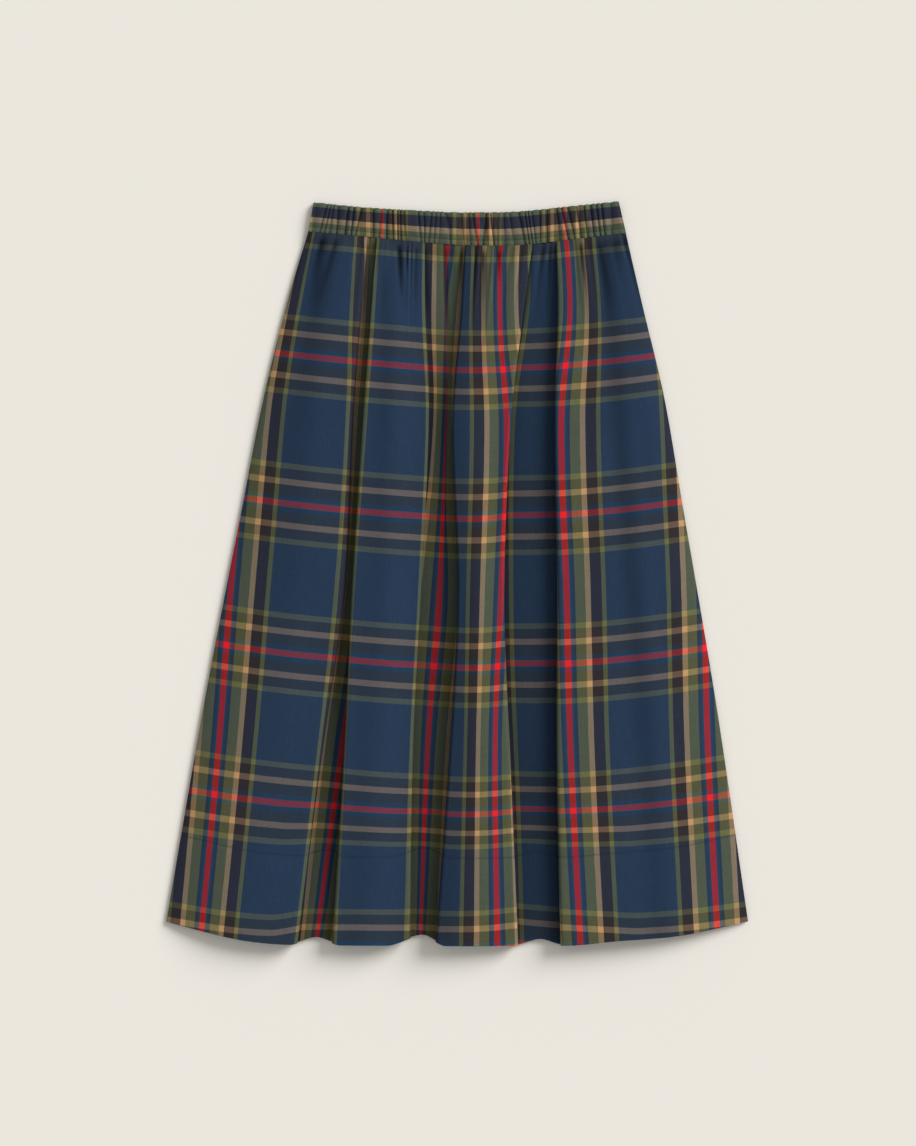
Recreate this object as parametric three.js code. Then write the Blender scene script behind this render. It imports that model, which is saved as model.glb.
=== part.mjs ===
// A full skirt of checked cotton, laid flat: front and back panels gathered into an elastic waistband.
// Millimetres. X runs across the skirt, Y from the hem up to the waist, Z up from the surface it lies on.
import * as THREE from "three";

// Driving dimensions
const CLOTH = 1.2; // wall of one layer of cloth
const SEAM_GAP = 0.3; // air left between two pieces that meet
const SKIRT_LENGTH = 757; // from the waist seam to the hem, down the middle
const HEM_DEPTH = 95; // depth of the turned-up hem
const HEM_LAYER = 0.9; // the hem's second layer, added on the inside
const TROUGH_Z = 3.4; // middle of the front cloth where it lies lowest
const SIDE_Z = 3.1; // middle of the front cloth along its side seams
const FOOT_RADIUS = 2.6; // how tightly a fold turns at its foot, at the middle of the wall
const FOOT_SHARE = 0.2; // and at most this share of the fold's rise
const GATHER_RIPPLE = 1.2; // height of the small gathers, either way, at the waist seam
const GATHER_REACH = 42; // how far below the seam the small gathers die out
const BAND_WALL = 3.0; // waistband's front half: two layers over the elastic
const BAND_BACK_WALL = 2; // its back half, drawn flatter
const BAND_RIPPLE = 0.9; // height of the waistband's gathers, either way
const BACK_HEM_RISE = 11; // the back hem hangs this much shorter than the front one

// Side outlines: drop runs from 0 at the waist seam to 1 at the hem
const sides = [
  { drop: 0.0, left: -161, right: 182.5 },
  { drop: 0.1, left: -183, right: 199.5 },
  { drop: 0.24, left: -209, right: 224 },
  { drop: 0.39, left: -231, right: 243 },
  { drop: 0.68, left: -273, right: 279.5 },
  { drop: 1.0, left: -314.5, right: 314.5 },
];

// The waist seam dips towards its middle
const waistSeam = [
  { across: -161, y: 369 },
  { across: -102, y: 363.5 },
  { across: -36, y: 357 },
  { across: 10, y: 354 },
  { across: 65, y: 354 },
  { across: 106, y: 358 },
  { across: 182.5, y: 367 },
];

// So does the waistband's upper edge
const waistTop = [
  { across: -155, y: 400.5 },
  { across: -100, y: 395 },
  { across: -22, y: 390.5 },
  { across: 10, y: 389.5 },
  { across: 65, y: 390.5 },
  { across: 125, y: 396.5 },
  { across: 174.5, y: 401.5 },
];

// The hem, from its lowest stretch in the middle to the raised corners
const hem = [
  { across: -314.5, y: -377.5 },
  { across: -238, y: -395 },
  { across: -190, y: -400.5 },
  { across: -100, y: -401.5 },
  { across: 120, y: -401.5 },
  { across: 170, y: -397 },
  { across: 240, y: -391.5 },
  { across: 314.5, y: -377 },
];

// Between its ridges the hem rises in three soft waves: where each starts, peaks and ends
const hemWaves = [
  { from: -182, peak: -152, to: -125, lift: 7.5 },
  { from: -76, peak: -37, to: -12, lift: 10.5 },
  { from: 62, peak: 90, to: 114, lift: 6 },
];

// Long folds, a row for each edge. "ridge" is the side where the cloth stands high. Lists run
// over the heights in foldDrops: across is the place of the edge, takeUp the cloth length that
// it swallows, rise its height, and round the radius at which the ridge turns down.
const foldDrops = [0, 0.1, 0.25, 0.5, 0.72, 1];
const foldEdges = [
  {
    ridge: "left",
    across: [-98, -104, -114, -122.5, -145, -172.5],
    takeUp: [3, 6, 8, 9, 10, 12],
    rise: [5, 9, 13, 14, 14, 14],
    round: [2.2, 4, 6, 6.5, 6, 5],
  },
  {
    ridge: "right",
    across: [-87, -93, -101, -113, -121, -134.5],
    takeUp: [40, 50, 54, 52, 38, 21],
    rise: [6, 10, 14, 16, 16, 14],
    round: [1.4, 2, 2.4, 2.6, 2.8, 3],
  },
  {
    ridge: "left",
    across: [-36, -35, -31, -39, -47.5, -51],
    takeUp: [3, 6, 10, 14, 18, 18],
    rise: [5, 8.5, 12, 14, 14, 13],
    round: [2.2, 3, 3.4, 3.6, 3.6, 3.6],
  },
  {
    ridge: "right",
    across: [8.5, 4, -5, 0.5, -7.5, -23],
    takeUp: [46, 62, 76, 72, 68, 64],
    rise: [6.5, 10.5, 15, 18, 18, 17],
    round: [1.4, 2, 2.4, 2.8, 2.8, 3],
  },
  {
    ridge: "left",
    across: [81, 71, 58, 50.5, 56.5, 65.5],
    takeUp: [3, 10, 33, 30, 12, 9],
    rise: [5, 9, 13, 15, 14, 12],
    round: [2.2, 2.2, 3, 3.4, 4.6, 4.8],
  },
  {
    ridge: "right",
    across: [107.5, 109, 105.5, 108, 107.5, 111.5],
    takeUp: [44, 58, 61, 54, 51, 48],
    rise: [6, 10.5, 15, 17, 17, 16],
    round: [1.4, 2, 2.4, 2.8, 2.8, 3],
  },
];

// Soft creases on the ridges: they start at the waist seam at "top", point at "low" on the hem,
// and die out at the drop "reach"
const softCreases = [
  { top: -129, low: -205, reach: 0.16, depth: 2.6, width: 8 },
  { top: -62, low: -40, reach: 0.42, depth: 2.4, width: 9 },
  { top: 30, low: 12, reach: 0.3, depth: 1.4, width: 7 },
  { top: 158, low: 215, reach: 1.5, depth: 2.8, width: 13 },
];

// Stretches of cloth between the fold edges, left to right, ridges and troughs in turn: gathers
// is the number of small gathers in each at the waist, crown how much its middle bulges, and
// steps its columns lower down
const stretches = [
  { gathers: 7, crown: 2, steps: 12 },
  { gathers: 3, crown: 0, steps: 2 },
  { gathers: 7, crown: 3, steps: 8 },
  { gathers: 6, crown: 0, steps: 2 },
  { gathers: 10, crown: 2, steps: 7 },
  { gathers: 5, crown: 0, steps: 3 },
  { gathers: 10, crown: 2, steps: 15 },
];
const CROWN_START = 0.2; // drop at which the ridges have their full crown
const SIDE_ROUNDING = 0.75; // how quickly the cloth rounds up beside a side seam
const TURN_STEPS = 3; // columns round each turn of a fold
const WALL_STEPS = 1; // columns across the cloth between its two turns
const COLUMNS_PER_GATHER = 4;
const LAST_COLUMN = 2 * foldEdges.length + 1 - 1e-6; // just short of a whole number

// Steps across and down over which the cloth's outward direction is taken
const COLUMN_STEP = 0.02;
const DROP_STEP = 0.004;

// Rows down the front panel, and those of them that carry the small gathers
const hemLine = 1 - HEM_DEPTH / SKIRT_LENGTH;
const gatheredDrops = [0, 0.012, 0.03];
const plainDrops = [0.056, 0.09, 0.14, 0.2, 0.28, 0.37, 0.46, 0.55, 0.64, 0.73, 0.81, hemLine];
const hemDrops = [hemLine + 0.005, 0.94, 1];

const panelCloth = new THREE.MeshStandardMaterial({ color: 0x2a3a52, roughness: 0.9, metalness: 0 });
const bandCloth = new THREE.MeshStandardMaterial({ color: 0x4c5048, roughness: 0.9, metalness: 0 });

// Smooth curve through a table's rows: the value of one column at a place along another
function along(rows, key, column, at) {
  const last = rows.length - 2;
  let i = 0;
  while (i < last && at > rows[i + 1][key]) i += 1;
  const slope = (j) => {
    const a = rows[Math.max(j - 1, 0)];
    const b = rows[Math.min(j + 1, rows.length - 1)];
    return (b[column] - a[column]) / (b[key] - a[key]);
  };
  const from = rows[i];
  const to = rows[i + 1];
  const span = to[key] - from[key];
  const s = (at - from[key]) / span;
  const s2 = s * s;
  const s3 = s2 * s;
  return (
    from[column] * (2 * s3 - 3 * s2 + 1) +
    to[column] * (3 * s2 - 2 * s3) +
    slope(i) * span * (s3 - 2 * s2 + s) +
    slope(i + 1) * span * (s3 - s2)
  );
}

function foldValue(edge, column, drop) {
  const rows = foldDrops.map((d, i) => ({ drop: d, value: edge[column][i] }));
  return along(rows, "drop", "value", drop);
}

// A fold's wall turns up from the trough, runs at one angle, and turns level on the ridge.
// The angle is the one at which the wall swallows the asked length of cloth, or the steepest
// that leaves its straight run any length.
function wallShape(takeUp, rise, round) {
  const foot = Math.min(FOOT_RADIUS, rise * FOOT_SHARE);
  const turns = foot + round;
  const run = (angle) => (rise - turns * (1 - Math.cos(angle))) / Math.sin(angle);
  const swallowed = (angle) =>
    turns * (angle - Math.sin(angle)) + run(angle) * (1 - Math.cos(angle));
  let low = 0.05;
  let high = Math.min(Math.acos(Math.max(1 - rise / turns, -1)), Math.PI - 0.01);
  for (let i = 0; i < 40; i += 1) {
    const middle = (low + high) / 2;
    if (swallowed(middle) < takeUp) low = middle;
    else high = middle;
  }
  const angle = (low + high) / 2;
  return { foot, round, angle, run: run(angle) };
}

// Place along the wall, from the trough (part 0) to the ridge (part 1)
function onWall(shape, part) {
  const { foot, round, angle, run } = shape;
  const steps = 2 * TURN_STEPS + WALL_STEPS;
  const turnPart = TURN_STEPS / steps;
  const sweep = (radius, turn) => ({
    x: radius * Math.sin(turn),
    z: radius * (1 - Math.cos(turn)),
  });
  if (part <= turnPart) return sweep(foot, (angle * part) / turnPart);
  const lower = sweep(foot, angle);
  if (part <= 1 - turnPart) {
    const s = (run * (part - turnPart)) / (1 - 2 * turnPart);
    return { x: lower.x + s * Math.cos(angle), z: lower.z + s * Math.sin(angle) };
  }
  const upper = sweep(round, angle);
  const rest = sweep(round, (angle * (1 - part)) / turnPart);
  return {
    x: lower.x + upper.x + run * Math.cos(angle) - rest.x,
    z: lower.z + upper.z + run * Math.sin(angle) - rest.z,
  };
}

// One fold edge at one height: its foot in the trough, its crest on the ridge, and its wall
function foldAt(edge, drop) {
  const rise = foldValue(edge, "rise", drop);
  const shape = wallShape(foldValue(edge, "takeUp", drop), rise, foldValue(edge, "round", drop));
  const across = foldValue(edge, "across", drop);
  const side = edge.ridge === "right" ? 1 : -1;
  const crest = across + side * shape.round * Math.sin(Math.min(shape.angle, Math.PI / 2));
  const foot = crest - side * onWall(shape, 1).x;
  return { rise, shape, side, crest, foot };
}

// Everything that one height's section needs, worked out once
const sections = new Map();
function sectionAt(drop) {
  if (!sections.has(drop)) {
    const left = along(sides, "drop", "left", drop);
    const right = along(sides, "drop", "right", drop);
    sections.set(drop, { left, right, folds: foldEdges.map((edge) => foldAt(edge, drop)) });
  }
  return sections.get(drop);
}

// How far the soft creases lower the cloth at one place
function creaseDepth(x, drop) {
  return softCreases.reduce((sum, { top, low, reach, depth, width }) => {
    const place = THREE.MathUtils.lerp(top, low, drop);
    const strength = Math.max(0, 1 - drop / reach) * THREE.MathUtils.smoothstep(drop, 0, 0.05);
    return sum + depth * strength * Math.exp(-(((x - place) / width) ** 2));
  }, 0);
}

// How far the waves of the hem lift it at one place
function hemLift(x) {
  return hemWaves.reduce((sum, { from, peak, to, lift }) => {
    const part = x < peak ? (x - from) / (peak - from) : (to - x) / (to - peak);
    return sum + lift * THREE.MathUtils.smoothstep(part, 0, 1);
  }, 0);
}

// Middle of the front cloth. The column's whole part picks a stretch (even) or a fold (odd),
// its fraction the place along it.
function frontSection(column, drop) {
  const { left, right, folds } = sectionAt(drop);
  const piece = Math.min(Math.floor(column), 2 * folds.length);
  const part = column - piece;
  if (piece % 2 === 1) {
    const fold = folds[(piece - 1) / 2];
    const wall = onWall(fold.shape, fold.side > 0 ? part : 1 - part);
    return { x: fold.foot + fold.side * wall.x, z: TROUGH_Z + wall.z };
  }
  const index = piece / 2;
  const { gathers, crown } = stretches[index];
  const before = folds[index - 1];
  const after = folds[index];
  const isTrough = index % 2 === 1;
  const reach = (fold) => (isTrough ? fold.foot : fold.crest);
  const startX = before ? reach(before) : left;
  const endX = after ? reach(after) : right;
  const startZ = before ? TROUGH_Z + (isTrough ? 0 : before.rise) : SIDE_Z;
  const endZ = after ? TROUGH_Z + (isTrough ? 0 : after.rise) : SIDE_Z;
  // Beside a side seam the cloth rounds up quickly, elsewhere it passes evenly between folds
  let blend = part;
  if (!before) blend = Math.sin((Math.PI / 2) * part) ** SIDE_ROUNDING;
  if (!after) blend = 1 - Math.cos((Math.PI / 2) * part) ** SIDE_ROUNDING;
  const puff = crown * Math.min(1, drop / CROWN_START) * Math.sin(Math.PI * part) ** 2;
  const fade = Math.max(0, 1 - (drop * SKIRT_LENGTH) / GATHER_REACH);
  const ripple = GATHER_RIPPLE * fade * Math.sin(2 * Math.PI * gathers * part);
  const x = startX + (endX - startX) * part;
  const crease = isTrough ? 0 : creaseDepth(x, drop);
  return { x, z: startZ + (endZ - startZ) * blend + puff + ripple - crease };
}

function frontPoint(column, drop) {
  const here = frontSection(column, drop);
  const atSeam = frontSection(column, 0);
  const atHem = frontSection(column, 1);
  const top = along(waistSeam, "across", "y", atSeam.x) - SEAM_GAP / 2;
  const bottom = along(hem, "across", "y", atHem.x) + hemLift(atHem.x);
  return new THREE.Vector3(here.x, top + (bottom - top) * drop, here.z);
}

// Outward direction of the front cloth, from the points either side
function frontNormal(column, drop) {
  const across = frontPoint(Math.min(column + COLUMN_STEP, LAST_COLUMN), drop).sub(
    frontPoint(Math.max(column - COLUMN_STEP, 0), drop),
  );
  const down = frontPoint(column, Math.min(drop + DROP_STEP, 1)).sub(
    frontPoint(column, Math.max(drop - DROP_STEP, 0)),
  );
  return down.cross(across).normalize();
}

// Columns of one row: the fold walls always, the stretches finely where they are gathered
function columnsFor(isGathered) {
  const columns = [];
  stretches.forEach((stretch, index) => {
    const steps = isGathered ? stretch.gathers * COLUMNS_PER_GATHER : stretch.steps;
    for (let i = 0; i < steps; i += 1) columns.push(2 * index + i / steps);
    const wallSteps = 2 * TURN_STEPS + WALL_STEPS;
    if (index === foldEdges.length) return;
    for (let i = 0; i < wallSteps; i += 1) columns.push(2 * index + 1 + i / wallSteps);
  });
  columns.push(LAST_COLUMN);
  return columns;
}

// A closed wall from its outer and its inner rows. A row is a list of { at, point }, where
// "at" orders the points of neighbouring rows, which may differ in number.
function closedWall(outerRows, innerRows) {
  const positions = [];
  const triangles = [];
  const number = (row) =>
    row.map(({ at, point }) => {
      positions.push(point.x, point.y, point.z);
      return { at, index: positions.length / 3 - 1 };
    });
  const outer = outerRows.map(number);
  const inner = innerRows.map(number);
  // Triangles between two ordered lists of points, the first lying above the second
  const zip = (above, below) => {
    let i = 0;
    let j = 0;
    while (i < above.length - 1 || j < below.length - 1) {
      const nextAbove = i < above.length - 1 ? above[i + 1].at : Infinity;
      const nextBelow = j < below.length - 1 ? below[j + 1].at : Infinity;
      if (nextAbove <= nextBelow) {
        triangles.push(above[i].index, below[j].index, above[i + 1].index);
        i += 1;
      } else {
        triangles.push(above[i].index, below[j].index, below[j + 1].index);
        j += 1;
      }
    }
  };
  const rise = (rows, pick) => rows.map((row, k) => ({ ...pick(row), at: k / (rows.length - 1) }));
  for (let k = 0; k < outer.length - 1; k += 1) zip(outer[k], outer[k + 1]);
  for (let k = 0; k < inner.length - 1; k += 1) zip(inner[k + 1], inner[k]);
  zip(inner[0], outer[0]);
  zip(outer.at(-1), inner.at(-1));
  zip(rise(outer, (row) => row[0]), rise(inner, (row) => row[0]));
  zip(rise(inner, (row) => row.at(-1)), rise(outer, (row) => row.at(-1)));
  const geometry = new THREE.BufferGeometry();
  geometry.setAttribute("position", new THREE.Float32BufferAttribute(positions, 3));
  geometry.setIndex(triangles);
  geometry.computeVertexNormals();
  return geometry;
}

function frontPanel() {
  const rows = (outward) => {
    const row = (drop, isGathered, depth) =>
      columnsFor(isGathered).map((column) => {
        const point = frontPoint(column, drop);
        return { at: column, point: point.addScaledVector(frontNormal(column, drop), depth) };
      });
    const plain = outward ? CLOTH / 2 : -CLOTH / 2;
    const doubled = outward ? CLOTH / 2 : -CLOTH / 2 - HEM_LAYER;
    return [
      ...gatheredDrops.map((drop) => row(drop, true, plain)),
      ...plainDrops.map((drop) => row(drop, false, plain)),
      ...hemDrops.map((drop) => row(drop, false, doubled)),
    ];
  };
  return closedWall(rows(true), rows(false));
}

// The back panel lies flat under the front one, from side seam to side seam
function backPanel() {
  const columnCount = 20;
  const drops = [0, 0.1, 0.2, 0.32, 0.45, 0.58, 0.7, 0.8, hemLine, 0.94, 1];
  const rows = (height) =>
    drops.map((drop) => {
      const row = [];
      for (let i = 0; i <= columnCount; i += 1) {
        const part = i / columnCount;
        const place = (d) =>
          THREE.MathUtils.lerp(along(sides, "drop", "left", d), along(sides, "drop", "right", d), part);
        const top = along(waistSeam, "across", "y", place(0)) - SEAM_GAP / 2;
        const shorter = BACK_HEM_RISE * Math.sin(Math.PI * part) ** 0.5;
        const bottom = along(hem, "across", "y", place(1)) + shorter;
        const y = THREE.MathUtils.lerp(top, bottom, drop);
        row.push({ at: part, point: new THREE.Vector3(place(drop), y, height) });
      }
      return row;
    });
  return closedWall(rows(CLOTH), rows(0));
}

// Rows of a waistband half: part runs from 0 at the upper edge to 1 at the seam
function bandRow(part, steps, heightAt) {
  const row = [];
  for (let i = 0; i <= steps; i += 1) {
    const s = i / steps;
    const topX = THREE.MathUtils.lerp(waistTop[0].across, waistTop.at(-1).across, s);
    const seamX = THREE.MathUtils.lerp(waistSeam[0].across, waistSeam.at(-1).across, s);
    const topY = along(waistTop, "across", "y", topX);
    const seamY = along(waistSeam, "across", "y", seamX) + SEAM_GAP / 2;
    const x = THREE.MathUtils.lerp(topX, seamX, part);
    const y = THREE.MathUtils.lerp(topY, seamY, part);
    row.push({ at: s, point: new THREE.Vector3(x, y, heightAt(s)) });
  }
  return row;
}

const bandGathers = stretches.reduce((sum, stretch) => sum + stretch.gathers, 0);
// Across its height the front band swells between its edge and the stitched seam
const bandProfile = [
  { part: 0, swell: 0.35, ripple: 0.5 },
  { part: 0.1, swell: 0.95, ripple: 1 },
  { part: 0.55, swell: 1, ripple: 1 },
  { part: 0.84, swell: 0.75, ripple: 0.8 },
  { part: 1, swell: 0.8, ripple: 0.9 },
];

function waistbandFront() {
  const under = BAND_BACK_WALL + SEAM_GAP;
  const steps = bandGathers * COLUMNS_PER_GATHER;
  const outer = bandProfile.map(({ part, swell, ripple }) =>
    bandRow(part, steps, (s) => {
      const wave = BAND_RIPPLE * ripple * Math.sin(2 * Math.PI * bandGathers * s);
      return under + BAND_WALL * swell + wave;
    }),
  );
  const inner = [0, 1].map((part) => bandRow(part, steps, () => under));
  return closedWall(outer, inner);
}

function waistbandBack() {
  const steps = 24;
  const rows = (height) => [0, 0.5, 1].map((part) => bandRow(part, steps, () => height));
  return closedWall(rows(BAND_BACK_WALL), rows(0));
}

function named(name, geometry, material) {
  const mesh = new THREE.Mesh(geometry, material);
  mesh.name = name;
  return mesh;
}

const group = new THREE.Group();
group.add(named("back_panel", backPanel(), panelCloth));
group.add(named("waistband_back", waistbandBack(), bandCloth));
group.add(named("front_panel", frontPanel(), panelCloth));
group.add(named("waistband_front", waistbandFront(), bandCloth));

export default group;
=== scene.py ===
import math

import bpy
import numpy as np
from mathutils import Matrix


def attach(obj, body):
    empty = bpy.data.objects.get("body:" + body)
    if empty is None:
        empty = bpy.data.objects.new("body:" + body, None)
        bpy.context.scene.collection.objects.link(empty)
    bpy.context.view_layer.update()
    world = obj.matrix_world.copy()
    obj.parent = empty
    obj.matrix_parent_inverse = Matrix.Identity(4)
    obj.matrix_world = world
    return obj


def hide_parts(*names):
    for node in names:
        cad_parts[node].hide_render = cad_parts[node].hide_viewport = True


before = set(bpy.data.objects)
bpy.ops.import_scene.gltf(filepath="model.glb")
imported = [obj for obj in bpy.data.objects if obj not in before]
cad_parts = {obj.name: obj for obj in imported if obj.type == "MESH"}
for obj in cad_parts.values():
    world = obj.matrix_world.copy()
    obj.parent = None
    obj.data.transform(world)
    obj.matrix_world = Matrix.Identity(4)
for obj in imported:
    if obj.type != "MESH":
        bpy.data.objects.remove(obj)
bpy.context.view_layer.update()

# Front panel
# The front of the skirt: one wide panel of woven check cotton, gathered into the waist seam and
# lying in four soft ridges with three deep folds between them. Its hem is turned up inside and
# stitched down. Lengths here are millimetres; "drop" is 0 at the waist seam and 1 at the hem.
MM = 0.001
CLOTH = 0.8  # thickness
SKIRT_LENGTH = 757  # from the waist seam to the hem
HEM_DEPTH = 95
HEM_LAYER = 0.7  # what the turned-up hem adds to the thickness
HEM_LINE = 1 - HEM_DEPTH / SKIRT_LENGTH
SEAM_GAP = 0.3
SEAM_Z = 5.2  # height of the cloth in the waist seam
SEAM_HOLD = 0.35  # share of its shape that the seam leaves the cloth
SEAM_HOLD_END = 0.02
TROUGH_Z = 3.4  # height of the folds' floors
SIDE_Z = 3.0  # height of the side edges
SIDE_ROUNDING = 0.75
FOOT_RADIUS = 2.6  # where a fold's wall meets the floor, at most
FOOT_SHARE = 0.2  # of the fold's rise
TURN_PART = 0.4  # share of a wall's columns on each of its two curves
SIDES_LEFT = [(0, -161), (0.1, -183), (0.24, -209), (0.39, -231), (0.68, -273), (1, -314.5)]
SIDES_RIGHT = [(0, 182.5), (0.1, 199.5), (0.24, 224), (0.39, 243), (0.68, 279.5), (1, 314.5)]
WAIST_SEAM = [
    (-161, 369), (-102, 363.5), (-36, 357), (10, 354), (65, 354), (106, 358), (182.5, 367),
]
HEM = [
    (-314.5, -377.5), (-238, -395), (-190, -400.5), (-100, -401.5),
    (120, -401.5), (170, -397), (240, -391.5), (314.5, -377),
]

# Between its ridges the hem rises in three soft waves: start, peak, end and height
HEM_WAVES = [(-182, -152, -125, 7.5), (-76, -37, -12, 10.5), (62, 90, 114, 6)]

# The long folds, left to right, at six heights: place of the fold's edge, cloth length that it
# swallows, how high it rises, and the radius at which the ridge turns down
FOLD_DROPS = [0, 0.1, 0.25, 0.5, 0.72, 1]
FOLDS = [
    dict(ridge=-1, across=[-98, -104, -114, -122.5, -145, -172.5], take_up=[3, 6, 8, 9, 10, 12],
         rise=[5, 9, 13, 14, 14, 14], turn=[2.2, 4, 6, 6.5, 6, 5]),
    dict(ridge=1, across=[-87, -93, -101, -113, -121, -134.5], take_up=[40, 50, 54, 52, 38, 21],
         rise=[6, 10, 14, 16, 16, 14], turn=[1.4, 2, 2.4, 2.6, 2.8, 3]),
    dict(ridge=-1, across=[-36, -35, -31, -39, -47.5, -51], take_up=[3, 6, 10, 14, 18, 18],
         rise=[5, 8.5, 12, 14, 14, 13], turn=[2.2, 3, 3.4, 3.6, 3.6, 3.6]),
    dict(ridge=1, across=[8.5, 4, -5, 0.5, -7.5, -23], take_up=[46, 62, 76, 72, 68, 64],
         rise=[6.5, 10.5, 15, 18, 18, 17], turn=[1.4, 2, 2.4, 2.8, 2.8, 3]),
    dict(ridge=-1, across=[81, 71, 58, 50.5, 56.5, 65.5], take_up=[3, 10, 33, 30, 12, 9],
         rise=[5, 9, 13, 15, 14, 12], turn=[2.2, 2.2, 3, 3.4, 4.6, 4.8]),
    dict(ridge=1, across=[107.5, 109, 105.5, 108, 107.5, 111.5], take_up=[44, 58, 61, 54, 51, 48],
         rise=[6, 10.5, 15, 17, 17, 16], turn=[1.4, 2, 2.4, 2.8, 2.8, 3]),
]
LAST_COLUMN = 2 * len(FOLDS) + 1 - 1e-6  # just inside the last stretch

# The stretches between the folds: how many small gathers each holds, how much its middle bulges,
# and for a trough how much its floor climbs towards the right
STRETCHES = [
    dict(gathers=7, crown=2, climb=0),
    dict(gathers=3, crown=0, climb=1.5),
    dict(gathers=7, crown=3, climb=0),
    dict(gathers=6, crown=0, climb=3),
    dict(gathers=10, crown=2, climb=0),
    dict(gathers=5, crown=0, climb=3),
    dict(gathers=10, crown=2, climb=0),
]
CROWN_START = 0.2  # drop by which a bulge has its full height
CLIMB_DROPS = (0.05, 0.3)  # drops over which a floor's climb comes in
CLIMB_LEAN = 1.6

# The small gathers under the seam: height, reach and shift to the side, each from least to most,
# and a finer ripple on them that dies out sooner
GATHER_HEIGHT = (0.2, 1.7)
GATHER_REACH = (8, 72)
GATHER_SHIFT = (-0.7, 0.7)
GATHER_FADE = 1.4
WAVES_PER_GATHER = 0.62
FINE_HEIGHT = 0.35
FINE_REACH = 9
FINE_WAVES = 1.9

# Soft creases on the ridges, from "top" at the seam towards "low" at the hem, fading out by the
# drop "reach"; depth below the cloth round them, width either way
CREASES = [
    dict(top=-129, low=-330, reach=0.14, depth=1.3, width=5),
    dict(top=-63, low=-20, reach=0.11, depth=2.2, width=3.5),
    dict(top=-55, low=-50, reach=0.05, depth=1.5, width=2.5),
    dict(top=-45, low=-58, reach=0.14, depth=1.3, width=3),
    dict(top=29, low=12, reach=0.26, depth=1.6, width=4.5),
    dict(top=45, low=50, reach=0.06, depth=1.3, width=2.5),
    dict(top=131, low=175, reach=0.12, depth=1.4, width=3.5),
    dict(top=-112, low=-140, reach=0.05, depth=1.2, width=2.5),
    dict(top=158, low=215, reach=1.5, depth=2.8, width=13),
    dict(top=-146, low=-262, reach=0.5, depth=1.3, width=10),
    dict(top=-140, low=-232, reach=0.9, depth=0.9, width=12),
    dict(top=-76, low=-98, reach=0.7, depth=0.8, width=9),
    dict(top=138, low=160, reach=0.6, depth=1.2, width=10),
    dict(top=172, low=268, reach=0.9, depth=1.0, width=12),
    dict(top=52, low=30, reach=0.8, depth=0.7, width=8),
]
CREASE_START = 0.015  # drop by which a crease has its full depth

# Where the cloth lies in its own width, in millimetres from the check's third red stripe: at the
# side edges, on the crest of each fold, where a fold's wall meets the trough's floor, and on both
# sides of a small pleat high in the middle trough
CLOTH_PLACES = [
    dict(column=0, along=[-278, -286, -294, -313, -333, -353]),
    dict(column=1, along=[-181, -188, -198, -194.5, -199, -200]),
    dict(column=2, along=[-176, -178.5, -177.6, -173.7, -174.9, -183]),
    dict(column=3, along=[-153, -149, -147.6, -147.4, -137.7, -123.4]),
    dict(column=4, along=[-114.5, -114.7, -113.4, -111.3, -110.4, -112.7]),
    dict(column=5, along=[-44.5, -43.5, -44.2, -44.4, -43.7, -41]),
    dict(column=6, along=[-37, -32.7, -32.8, -20.5, -22.5, -28]),
    dict(column=6.32, along=[-10, -8, 0, 2, 4.7, 7.4]),
    dict(column=6.335, along=[-3.5, 9.5, 16, 3.1, 5.8, 8.4]),
    dict(column=7, along=[46.7, 52, 51, 51, 54, 47]),
    dict(column=8, along=[103.9, 101.3, 92.8, 103.5, 96, 88]),
    dict(column=9, along=[196, 184, 156, 154, 168.5, 172.5]),
    dict(column=10, along=[201, 190, 182, 178.6, 189.5, 192.5]),
    dict(column=11, along=[246, 256.6, 264, 266, 262.8, 256.6]),
    dict(column=12, along=[296, 295, 304, 301.5, 296.5, 289.5]),
    dict(column=13, along=[398, 410, 427.5, 453, 478, 499]),
]
HEM_CREEP = [(-314.5, -6), (-205, -4), (-170, 4), (-95, 12), (45, 17), (90, 16), (160, 9),
             (200, 4), (314.5, 0)]
CREEP_DROPS = (0.76, 0.96)
SEAM_TAKES = 2.4  # cloth drawn into the waist seam
SEAM_TAKES_END = 0.015
PLEAT_COLUMN = 6.3275
PLEAT_REACH = 0.06  # columns either way
PLEAT_DEPTH = 1.4
PLEAT_END = 0.34
PLEAT_FADE = 0.1


def smooth_curve(table, at):
    """Value at a place, on a smooth curve through a table's (place, value) rows."""
    places, values = np.array(table, float).T
    at = np.asarray(at, float)
    last = len(places) - 1
    before = np.maximum(np.arange(last + 1) - 1, 0)
    after = np.minimum(np.arange(last + 1) + 1, last)
    slope = (values[after] - values[before]) / (places[after] - places[before])
    i = np.clip(np.searchsorted(places, at) - 1, 0, last - 1)
    span = places[i + 1] - places[i]
    s = (at - places[i]) / span
    return (
        values[i] * (2 * s**3 - 3 * s**2 + 1)
        + values[i + 1] * (3 * s**2 - 2 * s**3)
        + slope[i] * span * (s**3 - 2 * s**2 + s)
        + slope[i + 1] * span * (s**3 - s**2)
    )


def smooth_step(at, start, end):
    """Smooth rise from 0 at start to 1 at end."""
    s = np.clip((np.asarray(at, float) - start) / (end - start), 0, 1)
    return s * s * (3 - 2 * s)


def uneven(seed, places, low, high):
    """A smooth uneven run of values between low and high over whole-numbered places."""
    places = np.asarray(places, float)
    values = np.random.default_rng(seed).uniform(low, high, int(places.max()) + 3)
    i = np.floor(places).astype(int)
    s = smooth_step(places - i, 0, 1)
    return values[i] * (1 - s) + values[i + 1] * s


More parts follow.
